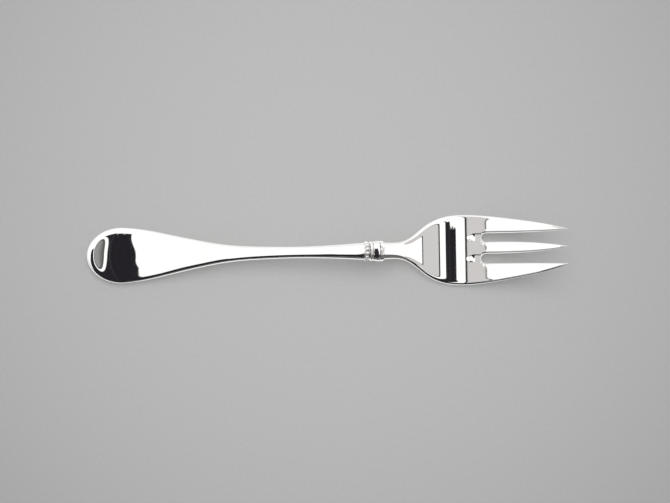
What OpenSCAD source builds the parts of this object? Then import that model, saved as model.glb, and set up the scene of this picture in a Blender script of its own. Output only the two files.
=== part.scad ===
// Pastry fork with a filled handle. A forged head with three tines runs into a tang,
// which is set in filler inside a hollow handle of two soldered shells. Four rings are
// threaded on the handle's mouth: a beaded ring, a plain wire, a barrel band and a lip.
// The handle's end points to -X and the tines to +X. The fork rests on Z = 0, on a flat
// under the handle's end and a flat under the bowl.

/* [Handle] */
// Length of the handle from its end to its mouth
handle_l = 86.2; // [76:0.2:100]
// Width of the broad end
pad_w = 17.2; // [14:0.2:20]
// Thickness of the broad end
pad_t = 3.6; // [3.2:0.1:4.2]
// Length over which the broad end is rounded in plan
pad_round_l = 12; // [10:0.5:15]
// Length over which the top of the broad end rolls down to its tip
pad_roll_l = 9; // [6:0.5:12]
// Place from which the crowned section grows fuller
crown_from = 12; // [8:1:20]
// Length over which it does
crown_l = 26; // [15:1:40]
// Width of the stem at its slimmest
stem_w = 3.54; // [3.4:0.02:5]
// Thickness of the stem at its slimmest
stem_t = 3.5; // [3.4:0.1:5]
// Height that the handle's centreline climbs from the broad end to the mouth
stem_rise = 5.83; // [4:0.1:7]
// Wall of the two handle shells
shell_t = 0.45; // [0.35:0.05:0.5]

/* [Collar] */
// Angle by which the collar leans down towards the tines
collar_tilt = 12; // [6:1:16]
// Diameter of the handle at its mouth
mouth_d = 5.3; // [5.1:0.1:6]
// Diameter over the beads
collar_d = 6.26; // [6.2:0.02:7]
// Number of beads round the collar
bead_count = 12; // [10:1:12]
// Diameter of a bead
bead_d = 1.26; // [1.1:0.02:1.3]
// Width of the ring that carries the beads
bead_row_w = 2; // [1.8:0.1:2.6]
// Diameter of that ring under the beads
bead_seat_d = 4.8; // [4.6:0.1:5]
// Width of the plain wire
wire_w = 1; // [0.8:0.1:1.2]
// Diameter over the plain wire
wire_d = 6.06; // [5.9:0.02:6.5]
// Width of the barrel band
band_w = 1.9; // [1.5:0.1:2.4]
// Largest diameter of the barrel band
band_d = 6.4; // [6.2:0.02:6.8]
// Slope of the barrel band beside the wire
band_back_slope = 15.5; // [10:0.5:20]
// Slope of the barrel band beside the groove
band_front_slope = 4; // [0:0.5:8]
// Width of the groove between the barrel band and the lip
groove_w = 0.2; // [0.1:0.05:0.3]
// Width of the lip against the head
lip_w = 1.3; // [1:0.1:1.8]
// Diameter of the lip beside the groove
lip_d = 6.3; // [5.8:0.1:6.6]
// Diameter of the lip beside the neck
lip_end_d = 5.4; // [5.2:0.1:5.7]
// Diameter of the handle's mouth tube, which carries the rings
spigot_d = 3.6; // [3.5:0.05:3.65]

/* [Head] */
// Length from the shoulder to the bowl's broadest place
neck_l = 24.5; // [20:0.5:30]
// Length from the bowl's broadest place to the tips
tine_l = 33; // [28:0.5:38]
// Length from the shoulder to the bowl's lowest place
dip_l = 21; // [18:0.2:23]
// Width of the neck at the shoulder
neck_w = 5.2; // [4.6:0.1:5.6]
// Thickness of the neck at the shoulder
neck_t = 4.4; // [3.6:0.1:5]
// Width of the bowl at its broadest
bowl_w = 21.88; // [19:0.1:24]
// How much more of that width lies on the cutting tine's side
cut_extra = 0.32; // [0:0.02:1]
// Thickness of the bowl
bowl_t = 2; // [1.6:0.1:2.4]
// Thickness of a tine just before its tip
tip_t = 0.9; // [0.6:0.1:1.4]
// Width of a tine's blunt tip
tip_w = 0.24; // [0.16:0.02:0.4]
// Height of the tips above the bowl
tip_rise = 10.4; // [8:0.2:13]
// Length of the gaps between the tines, from the centre of their round ends
slot_l = 25.4; // [22:0.2:28]
// Width of the gap beside the plain tine at its round end
slot_w = 2.72; // [2.4:0.02:3.2]
// Width of the gap beside the cutting tine at its round end
cut_slot_w = 3.08; // [2.6:0.02:3.4]
// Width of the middle tine at its root
mid_tine_w = 3.66; // [3:0.02:4.2]
// Distance of the middle tine from the fork's centreline
mid_tine_y = 0.42; // [0:0.02:0.8]
// Distance from one tip to the next
tip_pitch = 5.45; // [4.8:0.05:6]
// Distance before each gap's round end at which its hollow starts
scoop_l = 4.5; // [3:0.1:6]
// Length over which the hollow grows to its full depth
scoop_ramp_l = 2.6; // [1.5:0.1:4]
// Width of the hollow
scoop_w = 2.9; // [2:0.1:3.4]
// Width of the hollow's sloping sides
scoop_side_w = 0.5; // [0.3:0.05:0.8]
// Depth of the hollow in its middle
scoop_t = 0.22; // [0:0.02:0.4]
// Width of the rounded edge round a gap's end
root_edge_w = 0.35; // [0.3:0.05:1]

/* [Tang and filler] */
// Length of the tang inside the handle
tang_l = 40; // [25:1:55]
// Width and thickness of the tang
tang_w = 1.6; // [1.2:0.1:1.8]
// Length of the tang's tapered end
tang_taper_l = 1.2; // [0.8:0.1:2]
// Gap of the tang and of the shells round the filler
filler_gap = 0.06; // [0.04:0.01:0.1]
// Thickness of the metal at the very end of the handle
end_wall_t = 1; // [0.8:0.1:1.5]

/* [Hidden] */
$fn = 64;

// Clearance between the rings and round the mouth tube
seat_gap = 0.02;
// Depth by which the bowl's resting place is cut flat, and twice what the handle's end is
// set lower for its own
rest_cut = 0.12;
// Smallest distance from the handle's tip at which its width is read
blunt_l = 0.03;
// Length over which the sections turn from upright to the collar's lean
fan_l = 9;
// Clearance of the lip's bore round the tang
lip_bore_gap = 0.4;

// Handle outline: station along the handle, share from stem to broad end, share from
// stem to mouth
handle_shares = [
    [0, 1, 0], [0.139, 1, 0], [0.232, 0.842, 0], [0.325, 0.586, 0], [0.418, 0.337, 0],
    [0.51, 0.139, 0], [0.603, 0.047, 0], [0.696, 0.009, 0], [0.789, 0, 0],
    [0.893, 0, 0.36], [0.96, 0, 0.72], [1, 0, 1]
];
// Handle side view: station along the handle, share of the climb
climb_shares = [
    [0, -0.081], [0.05, -0.032], [0.09, -0.011], [0.139, 0], [0.175, 0.0145], [0.21, 0.0435],
    [0.255, 0.1005], [0.315, 0.19], [0.4, 0.3165], [0.5, 0.455], [0.62, 0.605],
    [0.75, 0.755], [0.88, 0.894], [1, 1]
];
// Neck outline: station from the shoulder to the broadest place, share of the widening
neck_shares = [
    [0, 0], [0.143, -0.01], [0.265, 0.045], [0.388, 0.248], [0.51, 0.542],
    [0.633, 0.773], [0.796, 0.941], [1, 1]
];
// Outer edge of the outer tines: station to the tips, share of the way in to the tip
tine_shares = [[0.152, 0.04], [0.333, 0.17], [0.576, 0.405], [0.788, 0.65], [1, 1]];
// Neck side view: station to the bowl's lowest place, share of the drop
drop_shares = [
    [0, 0], [0.12, 0.134], [0.26, 0.313], [0.4, 0.512], [0.52, 0.677], [0.62, 0.797],
    [0.71, 0.886], [0.8, 0.951], [0.9, 0.992], [1, 1]
];
// Tines side view: station from the lowest place to the tips, share of the tip's height
lift_shares = [
    [0.06, 0.009], [0.125, 0.033], [0.2, 0.08], [0.3, 0.167], [0.42, 0.296], [0.6, 0.505],
    [0.8, 0.749], [1, 1]
];
// Thickness from the shoulder to the broadest place, share from neck to bowl
neck_thin_shares = [
    [0, 0], [0.143, 0.27], [0.265, 0.5], [0.388, 0.68], [0.51, 0.81], [0.633, 0.9],
    [0.796, 0.975], [1, 1]
];
// Thickness from the broadest place to the tips, share from bowl to tip
tine_thin_shares = [[0.333, 0.08], [0.576, 0.3], [0.788, 0.6], [1, 1]];
// Stations of the sections in the rounded end, shares of its length
pad_station_shares = [0, 0.01, 0.035, 0.08, 0.14, 0.22, 0.32, 0.44, 0.58, 0.75];
// Stations of the sections across the bowl, shares of the shoulder-to-root length
head_station_shares = [
    0, 0.05, 0.1, 0.16, 0.22, 0.28, 0.34, 0.4, 0.46, 0.52, 0.58, 0.64, 0.7, 0.76,
    0.82, 0.85, 0.87, 0.89, 0.91, 0.928, 0.945, 0.958, 0.97, 0.985, 0.995, 1
];
// How far the sections bend round the gaps' ends, at the last of those stations
bend_shares = [0.05, 0.1, 0.2, 0.3, 0.45, 0.6, 0.72, 0.85, 1, 1, 1];
// Stations of the sections along a tine, shares from root to tip
tine_station_shares = [
    0, 0.012, 0.025, 0.036, 0.1, 0.18, 0.27, 0.36, 0.45, 0.54, 0.63, 0.72, 0.8,
    0.87, 0.92, 0.955, 0.98, 0.993, 1
];
// Places across a tine, shares of its width
across_shares = [0, 0.02, 0.08, 0.22, 0.5, 0.78, 0.92, 0.98, 1];
// Where the round end of a gap hands over to its two sides, share of its radius
corner_share = 0.7;
// How far the beads are turned from the collar's underside, share of their spacing
bead_turn_share = 0.5;
// Reach of the rounded edge on the bowl and tines, share of the half thickness
edge_share = 1.6;
// How much of the hollow's depth before a gap comes at an even slope, and how much deeper
// it gets towards the plain side
scoop_start_share = 0.5;
scoop_tilt_share = 0.85;
// Powers that shape the rounded end in plan, its roll, its crown, the edges, the way a gap
// widens and the hollow before it
plan_power = 2.2;
roll_power = 3.5;
crown_power = 2.6;
edge_power = 2.6;
widen_power = 2.7;
scoop_power = 3;
// Steps round a shell section, along the stem and across a gap
shell_steps = 14;
stem_steps = 22;
gap_steps = 4;
tang_steps = 8;
// Steps round the filler
filler_steps = 12;

spigot_r = spigot_d / 2;
collar_r = collar_d / 2;
wire_r = wire_w / 2;
bead_r = bead_d / 2;
bead_centre_r = collar_r - bead_r;
ring_bore_r = spigot_r + seat_gap;
tang_r = tang_w / 2;
lip_bore_r = tang_r + lip_bore_gap;
wire_s = bead_row_w + seat_gap;
band_s = wire_s + wire_w + seat_gap;
spigot_l = band_s + band_w;
lip_s = spigot_l + groove_w;
shoulder_s = lip_s + lip_w + seat_gap;

plain_half_w = (bowl_w - cut_extra) / 2;
cut_half_w = (bowl_w + cut_extra) / 2;
pad_z = (pad_t - rest_cut) / 2;
mouth_z = pad_z + stem_rise;
shoulder_x = handle_l + shoulder_s * cos(collar_tilt);
shoulder_z = mouth_z - shoulder_s * sin(collar_tilt);
broad_x = shoulder_x + neck_l;
dip_x = shoulder_x + dip_l;
tip_x = broad_x + tine_l;
fork_l = tip_x;
dip_z = bowl_t / 2 - rest_cut;
drop = shoulder_z - dip_z;
slot_x = tip_x - slot_l;
plain_slot_r = slot_w / 2;
cut_slot_r = cut_slot_w / 2;
plain_slot_y = mid_tine_y + mid_tine_w / 2 + plain_slot_r;
cut_slot_y = mid_tine_y - mid_tine_w / 2 - cut_slot_r;
plain_tip_y = mid_tine_y + tip_pitch;
cut_tip_y = mid_tine_y - tip_pitch;
root_x = slot_x - corner_share * min(plain_slot_r, cut_slot_r);

// Second derivatives of the smooth curve through the points p
function sweep(h, s, i, c, d) =
    i >= len(h) ? [] :
    let (
        m = 2 * (h[i - 1] + h[i]) - h[i - 1] * c,
        c1 = h[i] / m,
        d1 = (6 * (s[i] - s[i - 1]) - h[i - 1] * d) / m
    )
    concat([[c1, d1]], sweep(h, s, i + 1, c1, d1));
function back(cd, i, next) =
    i < 0 ? [] :
    let (m = cd[i][1] - cd[i][0] * next)
    concat(back(cd, i - 1, m), [m]);
function curve(p) =
    let (
        n = len(p) - 1,
        h = [for (i = [0:n - 1]) p[i + 1][0] - p[i][0]],
        s = [for (i = [0:n - 1]) (p[i + 1][1] - p[i][1]) / h[i]],
        bends = concat([0], back(sweep(h, s, 1, 0, 0), n - 2, 0), [0])
    )
    [p, bends];

// Value and slope of such a curve at x
function span(p, x) = min(len(p) - 2, max(0, len([for (q = p) if (q[0] <= x) 1]) - 1));
function at(c, x) =
    let (p = c[0], m = c[1], i = span(p, x))
    let (h = p[i + 1][0] - p[i][0], t = x - p[i][0], u = h - t)
    (m[i] * u * u * u + m[i + 1] * t * t * t) / (6 * h)
        + (p[i][1] / h - m[i] * h / 6) * u + (p[i + 1][1] / h - m[i + 1] * h / 6) * t;
function slope_at(c, x) =
    let (p = c[0], m = c[1], i = span(p, x))
    let (h = p[i + 1][0] - p[i][0], t = x - p[i][0], u = h - t)
    (m[i + 1] * t * t - m[i] * u * u) / (2 * h)
        + (p[i + 1][1] - p[i][1]) / h - (m[i + 1] - m[i]) * h / 6;

function mix(a, b, share) = a + (b - a) * share;
function ease(share) = let (s = min(1, max(0, share))) s * s * (3 - 2 * s);

handle_half_w = curve([for (q = handle_shares)
    [q[0] * handle_l, (stem_w + q[1] * (pad_w - stem_w) + q[2] * (mouth_d - stem_w)) / 2]]);
handle_half_t = curve([for (q = handle_shares)
    [q[0] * handle_l, (stem_t + q[1] * (pad_t - stem_t) + q[2] * (mouth_d - stem_t)) / 2]]);
handle_z = curve([for (q = climb_shares) [q[0] * handle_l, pad_z + q[1] * stem_rise]]);

function head_edge(half_w, tip_y) = curve(concat(
    [for (q = neck_shares) [shoulder_x + q[0] * neck_l, mix(neck_w / 2, half_w, q[1])]],
    [for (q = tine_shares) [broad_x + q[0] * tine_l, mix(half_w, tip_y, q[1])]]
));
plain_edge = head_edge(plain_half_w, plain_tip_y + tip_w / 2);
cut_edge = head_edge(cut_half_w, tip_w / 2 - cut_tip_y);
head_z = curve(concat(
    [for (q = drop_shares) [shoulder_x + q[0] * dip_l, shoulder_z - q[1] * drop]],
    [for (q = lift_shares) [dip_x + q[0] * (tip_x - dip_x), dip_z + q[1] * tip_rise]]
));
head_half_t = curve(concat(
    [for (q = neck_thin_shares) [shoulder_x + q[0] * neck_l, mix(neck_t, bowl_t, q[1]) / 2]],
    [for (q = tine_thin_shares) [broad_x + q[0] * tine_l, mix(bowl_t, tip_t, q[1]) / 2]]
));

// Lean of a section at x: upright in the handle and bowl, the collar's lean between
function lean(x) =
    x < shoulder_x
        ? collar_tilt * ease((x - handle_l + fan_l) / fan_l)
        : collar_tilt * ease((shoulder_x + fan_l - x) / fan_l);

// Point of a section: its centre, the distance across and the height along its lean
function lift(x, z, tilt, y, h) = [x + h * sin(tilt), y, z + h * cos(tilt)];

// Place on the collar's axis, s along it from the mouth
function axis_x(s) = handle_l + s * cos(collar_tilt);
function axis_z(s) = mouth_z - s * sin(collar_tilt);

// Half width and half thickness of the handle at x, less a wall
function pad_plan(x) =
    x >= pad_round_l ? 1 : sqrt(1 - pow(1 - max(x, blunt_l) / pad_round_l, plan_power));
function pad_roll(x) = x >= pad_roll_l ? 1 : sqrt(1 - pow(1 - x / pad_roll_l, roll_power));
function half_w(x, wall) = at(handle_half_w, x) * pad_plan(x) - wall;
function half_t(x, wall) = at(handle_half_t, x) * pad_roll(x) - wall;

// Half a section, from one seam to the other, on the side (1 above, -1 below)
function half_section(x, z, tilt, a, t, power, side, steps) = [
    for (j = [0:steps])
    let (
        turn = 180 * j / steps,
        c = j * 2 == steps ? 0 : cos(turn),
        s = j % steps == 0 ? 0 : sin(turn)
    )
    lift(x, z, tilt, a * sign(c) * pow(abs(c), 2 / power), side * t * s)
];
// Power of a section: crowned at the handle's end, then as full as it is broad
function fullness(a, x) =
    let (full = max(2, 2 * a / at(handle_half_t, x)))
    mix(min(crown_power, full), full, ease((x - crown_from) / crown_l));
function handle_section(x, wall, side, steps, shut = false) =
    let (a = half_w(x, wall), t = shut ? 0 : half_t(x, wall))
    half_section(x, at(handle_z, x), lean(x), a, t, fullness(a, x), side, steps);
function axis_section(s, r, side, steps) =
    half_section(axis_x(s), axis_z(s), collar_tilt, r, r, 2, side, steps);

stations = concat(
    [for (q = pad_station_shares) q * pad_round_l],
    [for (i = [0:stem_steps]) pad_round_l + (handle_l - pad_round_l) * i / stem_steps]
);
// Station of the inside of the wall that goes with a station of its outside
function inside_x(x, end_x, last_x) = end_x + x * (last_x - end_x) / handle_l;
function flat_under(p) = [p[0], p[1], max(p[2], 0)];

// Sheets of a shell: rows of points from the handle's end to the end of its mouth tube
function outer_rows(side) = concat(
    [for (x = stations)
        [for (p = handle_section(x, 0, side, shell_steps, x <= 0)) flat_under(p)]],
    [axis_section(0, spigot_r, side, shell_steps)],
    [axis_section(spigot_l, spigot_r, side, shell_steps)]
);
function inner_rows(side) = concat(
    [for (q = stations)
        let (x = inside_x(q, end_wall_t, handle_l - shell_t))
        handle_section(x, shell_t, side, shell_steps, q <= 0)],
    [axis_section(-shell_t, spigot_r - shell_t, side, shell_steps)],
    [axis_section(spigot_l, spigot_r - shell_t, side, shell_steps)]
);

// Triangles of a sheet with the given rows and columns, its first point at index start.
// Their diagonals fan out from the middle, so that none runs from rim to rim.
function sheet(rows, cols, start, flip) = [
    for (i = [0:rows - 2], j = [0:cols - 2])
    let (
        a = start + i * cols + j, b = a + 1, c = a + cols, d = c + 1,
        falling = (i < (rows - 1) / 2) == (j < (cols - 1) / 2),
        pair = falling ? [[a, d, b], [a, c, d]] : [[a, c, b], [b, c, d]]
    )
    each flip ? [for (f = pair) [f[0], f[2], f[1]]] : pair
];
// Triangles of a strip between two lists of point indices
function strip(p, q, flip) = [
    for (i = [0:len(p) - 2])
    each flip ? [[p[i], q[i + 1], p[i + 1]], [p[i], q[i], q[i + 1]]]
              : [[p[i], p[i + 1], q[i + 1]], [p[i], q[i + 1], q[i]]]
];
function flatten(rows) = [for (r = rows) each r];

module shell(side) {
    outer = outer_rows(side);
    inner = inner_rows(side);
    rows = len(outer);
    cols = shell_steps + 1;
    count = rows * cols;
    up = side > 0;
    near = [for (i = [0:rows - 1]) i * cols];
    far = [for (i = near) i + cols - 1];
    first = [for (j = [0:cols - 1]) j];
    last = [for (j = first) j + (rows - 1) * cols];
    polyhedron(
        points = concat(flatten(outer), flatten(inner)),
        faces = concat(
            sheet(rows, cols, 0, !up),
            sheet(rows, cols, count, up),
            strip(near, [for (i = near) i + count], up),
            strip(far, [for (i = far) i + count], !up),
            strip(first, [for (i = first) i + count], !up),
            strip(last, [for (i = last) i + count], up)
        )
    );
}

// Closed skin over rings of points, with flat ends
module skin(rings) {
    cols = len(rings[0]);
    rows = len(rings);
    polyhedron(
        points = flatten(rings),
        faces = concat(
            [for (i = [0:rows - 2], j = [0:cols - 1])
                let (a = i * cols + j, b = i * cols + (j + 1) % cols, c = a + cols, d = b + cols)
                each [[a, d, b], [a, c, d]]],
            [[for (j = [0:cols - 1]) j]],
            [[for (j = [cols - 1:-1:0]) (rows - 1) * cols + j]]
        )
    );
}

// Full ring of a section from its two halves
function ring(upper, lower) =
    let (n = len(upper) - 1)
    concat([for (j = [0:n]) upper[j]], [for (j = [n - 1:-1:1]) lower[j]]);
function round_ring(s, r) =
    ring(axis_section(s, r, 1, filler_steps), axis_section(s, r, -1, filler_steps));

wall_in = shell_t + filler_gap;
tang_hole_r = tang_r + filler_gap;
tang_x = handle_l - tang_l;
function filler_ring(x) =
    ring(handle_section(x, wall_in, 1, filler_steps),
         handle_section(x, wall_in, -1, filler_steps));
function tang_half(x, r, side) =
    half_section(x, at(handle_z, x), lean(x), r, r, 2, side, filler_steps);
function tang_ring(x, r) = ring(tang_half(x, r, 1), tang_half(x, r, -1));
tang_stations = [for (i = [0:tang_steps]) tang_x + i * tang_l / tang_steps];

module handle_filler() {
    first_x = end_wall_t + shell_t;
    outside = [for (i = [1:len(stations) - 1])
        filler_ring(inside_x(stations[i], first_x, handle_l - wall_in))];
    color("gainsboro")
    place()
    skin(concat(
        outside,
        [round_ring(-wall_in, spigot_r - wall_in)],
        [round_ring(spigot_l, spigot_r - wall_in)],
        [round_ring(spigot_l, tang_hole_r)],
        [for (i = [tang_steps:-1:1]) tang_ring(tang_stations[i], tang_hole_r)],
        [tang_ring(tang_x - filler_gap, tang_hole_r)]
    ));
}

module handle_upper_shell() {
    color("silver") place() shell(1);
}

module handle_lower_shell() {
    color("lightgray") place() shell(-1);
}

// Height of the rounded edge at a distance d in from it, as a share of the thickness
function swell(d, reach) = d >= reach ? 1 : sqrt(1 - pow(1 - max(d, 0) / reach, edge_power));

// Middle and half width of a gap at x
function widen(x) = pow(max(0, (x - slot_x) / slot_l), widen_power);
function gap_mid(cut, x) =
    cut ? mix(cut_slot_y, (cut_tip_y + mid_tine_y) / 2, widen(x))
        : mix(plain_slot_y, (plain_tip_y + mid_tine_y) / 2, widen(x));
function gap_half(cut, x) =
    mix(cut ? cut_slot_r : plain_slot_r, (tip_pitch - tip_w) / 2, widen(x));
function gap_reach(cut, x) =
    let (r = gap_half(cut, x), back = slot_x - x)
    back <= 0 ? r : sqrt(max(0, r * r - back * back));
// Distance from a gap, and how far its edge reaches there
function gap_far(cut, x, y) =
    x >= slot_x
        ? abs(y - gap_mid(cut, x)) - gap_half(cut, x)
        : norm([x - slot_x, y - gap_mid(cut, x)]) - gap_half(cut, x);
// How squarely a place lies in front of a gap's end: 1 straight before it, 0 beside it
function gap_ahead(cut, x, y) =
    let (back = max(0, slot_x - x), away = norm([back, y - gap_mid(cut, x)]))
    away > 0 ? back / away : 0;
function gap_swell(cut, x, y, reach) =
    let (ahead = gap_ahead(cut, x, y))
    swell(gap_far(cut, x, y), mix(reach, root_edge_w, ahead * ahead));
// How far the bowl is pressed down in the hollow before a gap's round end
function hollow(cut, x, y) =
    let (
        r = cut ? cut_slot_r : plain_slot_r,
        half = scoop_w / 2,
        before = slot_x - r - x,
        q = min(1, max(0, (scoop_l - before) / scoop_ramp_l)),
        aside = (y - gap_mid(cut, x)) / half,
        depth = scoop_t * mix(pow(q, scoop_power), q, scoop_start_share),
        inside = half * (sqrt(1 - pow(1 - q, scoop_power)) - abs(aside))
    )
    depth * (1 + scoop_tilt_share * aside) * ease(inside / scoop_side_w)
        * ease(1 + before / r);

// Half thickness of the head at x, y
function edge_far(c, x, y) = (at(c, x) - y) * cos(atan(slope_at(c, x)));
function head_half(x, y) =
    let (t = at(head_half_t, x), reach = edge_share * t)
    t * swell(edge_far(plain_edge, x, y), reach) * swell(edge_far(cut_edge, x, -y), reach)
        * gap_swell(false, x, y, reach) * gap_swell(true, x, y, reach)
        * swell(tip_x - x, reach);
function head_point(x, y, side, shut) =
    let (
        z = at(head_z, x) - hollow(false, x, y) - hollow(true, x, y),
        p = lift(x, z, lean(x), y, shut ? 0 : side * head_half(x, y))
    )
    side < 0 ? flat_under(p) : p;

// Places across a gap's round end: distance across and how far it bulges back
function gap_arc(cut) = [
    for (i = [0:gap_steps])
    let (
        r = cut ? cut_slot_r : plain_slot_r,
        swing = acos((slot_x - root_x) / r),
        turn = mix(-swing, swing, i / gap_steps)
    )
    [gap_mid(cut, slot_x) + r * sin(turn), r * cos(turn) - slot_x + root_x]
];
function across(low, high) = [for (q = across_shares) mix(low, high, q)];
plain_arc = gap_arc(false);
cut_arc = gap_arc(true);
cut_low = cut_arc[0][0];
cut_high = cut_arc[gap_steps][0];
plain_low = plain_arc[0][0];
plain_high = plain_arc[gap_steps][0];
// Columns of the bowl at x, from the cutting side: distance across, bulge, in a gap or not
function bowl_columns(x) = concat(
    [for (y = across(-at(cut_edge, x), cut_low)) [y, 0, false]],
    [for (i = [1:gap_steps - 1]) [cut_arc[i][0], cut_arc[i][1], true]],
    [for (y = across(cut_high, plain_low)) [y, 0, false]],
    [for (i = [1:gap_steps - 1]) [plain_arc[i][0], plain_arc[i][1], true]],
    [for (y = across(plain_high, at(plain_edge, x))) [y, 0, false]]
);
column_count = len(bowl_columns(root_x));
tine_columns = len(across_shares);
gap_columns = gap_steps - 1;
// Columns that lie on the ends of the gaps at the root
shut_columns = concat(
    [for (j = [tine_columns - 1:tine_columns + gap_columns]) j],
    [for (j = [2 * tine_columns + gap_columns - 1:2 * (tine_columns + gap_columns)]) j]
);
function evenly(low, high) = [for (j = [0:column_count - 1])
    mix(low, high, (1 - cos(180 * j / (column_count - 1))) / 2)];

// Row of the bowl at a station, above or below
function bowl_row(i, side) =
    let (
        last = len(head_station_shares) - 1,
        x = mix(shoulder_x, root_x, head_station_shares[i]),
        columns = bowl_columns(x),
        spread = evenly(-at(cut_edge, x), at(plain_edge, x)),
        fit = ease((x - shoulder_x - neck_l / 4) / (neck_l / 2)),
        from_last = i - last + len(bend_shares) - 1,
        bend = from_last < 0 ? 0 : bend_shares[from_last]
    )
    [for (j = [0:column_count - 1])
        head_point(
            x - bend * columns[j][1],
            mix(spread[j], columns[j][0], fit),
            side,
            j == 0 || j == column_count - 1 || (i == last && len(search(j, shut_columns)) > 0)
        )];
// Row of the tang or the shoulder in a leaning section
function tang_row(x, z, tilt, a, t, side) =
    [for (j = [0:column_count - 1])
        let (turn = 180 * j / (column_count - 1), rim = j == 0 || j == column_count - 1)
        lift(x, z, tilt, -a * cos(turn), rim ? 0 : side * t * sin(turn))];
function tang_row_at(x, a, t, side) = tang_row(x, at(handle_z, x), lean(x), a, t, side);
function tang_rows(side) = concat(
    [tang_row_at(tang_x, tang_r / 2, 0, side)],
    [tang_row_at(tang_x + tang_taper_l, tang_r, tang_r, side)],
    [for (i = [1:tang_steps]) tang_row_at(tang_stations[i], tang_r, tang_r, side)],
    [tang_row(shoulder_x, shoulder_z, collar_tilt, tang_r, tang_r, side)]
);
// Rows of a tine, between its two edges
function low_edge(k, x) =
    k == 0 ? -at(cut_edge, x) : let (cut = k == 1) gap_mid(cut, x) + gap_reach(cut, x);
function high_edge(k, x) =
    k == 2 ? at(plain_edge, x) : let (cut = k == 0) gap_mid(cut, x) - gap_reach(cut, x);
function tine_rows(k, side) = [
    for (i = [0:len(tine_station_shares) - 1])
    let (
        x = mix(root_x, tip_x, tine_station_shares[i]),
        y = across(low_edge(k, x), high_edge(k, x)),
        last = i == len(tine_station_shares) - 1
    )
    [for (j = [0:tine_columns - 1])
        head_point(x, y[j], side, last || j == 0 || j == tine_columns - 1)]
];

module fork_head() {
    body = [for (side = [1, -1]) concat(tang_rows(side),
        [for (i = [0:len(head_station_shares) - 1]) bowl_row(i, side)])];
    rows = len(body[0]);
    body_count = rows * column_count;
    tines = [for (k = [0:2], side = [1, -1]) tine_rows(k, side)];
    tine_row_count = len(tine_station_shares);
    tine_count = tine_row_count * tine_columns;
    color("whitesmoke")
    place()
    polyhedron(
        points = concat(
            flatten(body[0]), flatten(body[1]),
            [for (t = tines) each flatten(t)]
        ),
        faces = concat(
            sheet(rows, column_count, 0, true),
            sheet(rows, column_count, body_count, false),
            [for (k = [0:len(tines) - 1])
                let (start = 2 * body_count + k * tine_count)
                each sheet(tine_row_count, tine_columns, start, k % 2 == 0)]
        )
    );
}

// Sets children that are drawn along +Z from the handle's mouth on the leaning axis
module on_collar() {
    place()
    translate([handle_l, 0, mouth_z])
    rotate([0, 90 + collar_tilt, 0])
    children();
}

// Sets the fork with the middle of its box over the origin
module place() {
    translate([-fork_l / 2, (cut_half_w - plain_half_w) / 2, 0])
    children();
}

module bead_ring() {
    color("gray")
    on_collar()
    union() {
        rotate_extrude()
        translate([ring_bore_r, seat_gap])
        square([bead_seat_d / 2 - ring_bore_r, bead_row_w - seat_gap]);
        for (i = [0:bead_count - 1])
        rotate([0, 0, 360 * (i + bead_turn_share) / bead_count])
        translate([bead_centre_r, 0, bead_row_w / 2])
        rotate([0, 90, 0])
        sphere(r = bead_r);
    }
}

module wire_ring() {
    color("darkgray")
    on_collar()
    translate([0, 0, wire_s])
    rotate_extrude() {
        translate([ring_bore_r, 0])
        square([wire_d / 2 - wire_r - ring_bore_r, wire_w]);
        translate([wire_d / 2 - wire_r, wire_r])
        circle(r = wire_r);
    }
}

module collar_band() {
    barrel_r = band_w / (sin(band_back_slope) - sin(band_front_slope));
    color("dimgray")
    on_collar()
    translate([0, 0, band_s])
    rotate_extrude()
    intersection() {
        translate([ring_bore_r, 0])
        square([band_d / 2, band_w]);
        translate([band_d / 2 - barrel_r * cos(band_front_slope), barrel_r * sin(band_back_slope)])
        circle(r = barrel_r);
    }
}

module lip_ring() {
    color("slategray")
    on_collar()
    translate([0, 0, lip_s])
    rotate_extrude()
    polygon([
        [lip_bore_r, 0], [lip_d / 2, 0], [lip_d / 2, lip_w / 2],
        [lip_end_d / 2, lip_w], [lip_bore_r, lip_w]
    ]);
}

fork_head();
handle_upper_shell();
handle_lower_shell();
handle_filler();
bead_ring();
wire_ring();
collar_band();
lip_ring();
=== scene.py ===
"""Polished silver-plated pastry fork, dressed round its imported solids.

The fork lies tines up on a pale floor, seen from straight above. Sizes are in millimetres
in the fork's own coordinates: X runs from the handle's end to the tips, Z = 0 is the floor.
"""

import logging
import math
from collections.abc import Callable
from dataclasses import dataclass, field
from enum import Enum

import bmesh
import bpy
import numpy as np
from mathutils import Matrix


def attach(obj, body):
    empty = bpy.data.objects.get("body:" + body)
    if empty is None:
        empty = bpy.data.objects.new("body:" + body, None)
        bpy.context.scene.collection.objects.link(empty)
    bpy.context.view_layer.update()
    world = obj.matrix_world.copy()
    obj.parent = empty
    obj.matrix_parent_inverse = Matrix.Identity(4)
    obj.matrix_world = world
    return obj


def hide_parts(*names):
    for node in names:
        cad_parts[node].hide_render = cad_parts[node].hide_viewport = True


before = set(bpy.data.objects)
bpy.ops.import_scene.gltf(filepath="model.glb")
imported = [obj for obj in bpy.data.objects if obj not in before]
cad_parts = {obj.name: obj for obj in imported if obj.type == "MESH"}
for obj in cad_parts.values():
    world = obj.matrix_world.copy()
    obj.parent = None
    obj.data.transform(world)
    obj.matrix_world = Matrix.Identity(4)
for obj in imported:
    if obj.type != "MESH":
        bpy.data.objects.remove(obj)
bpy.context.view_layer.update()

MM = 0.001
# Angle from which an edge stays sharp, in degrees
SHARP = 40
# Power of a round section
ROUND = 2.0
# Levels and tints of what the polish shows: white, pale panels, their frames and the dark
WHITE = 1.12
PANEL = 0.64
FRAME = 0.04
DARK = 0.022
ROSE = (1.0, 0.975, 0.985)
VIOLET = (1.0, 0.93, 1.15)
# Streaks in the dark: their levels, as shares of it, and the detail and range of their noise
STREAK_LEVELS = (0.8, 2.2)
STREAK_DETAIL = 3.0
STREAK_RANGE = (0.5, 0.75)
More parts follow.
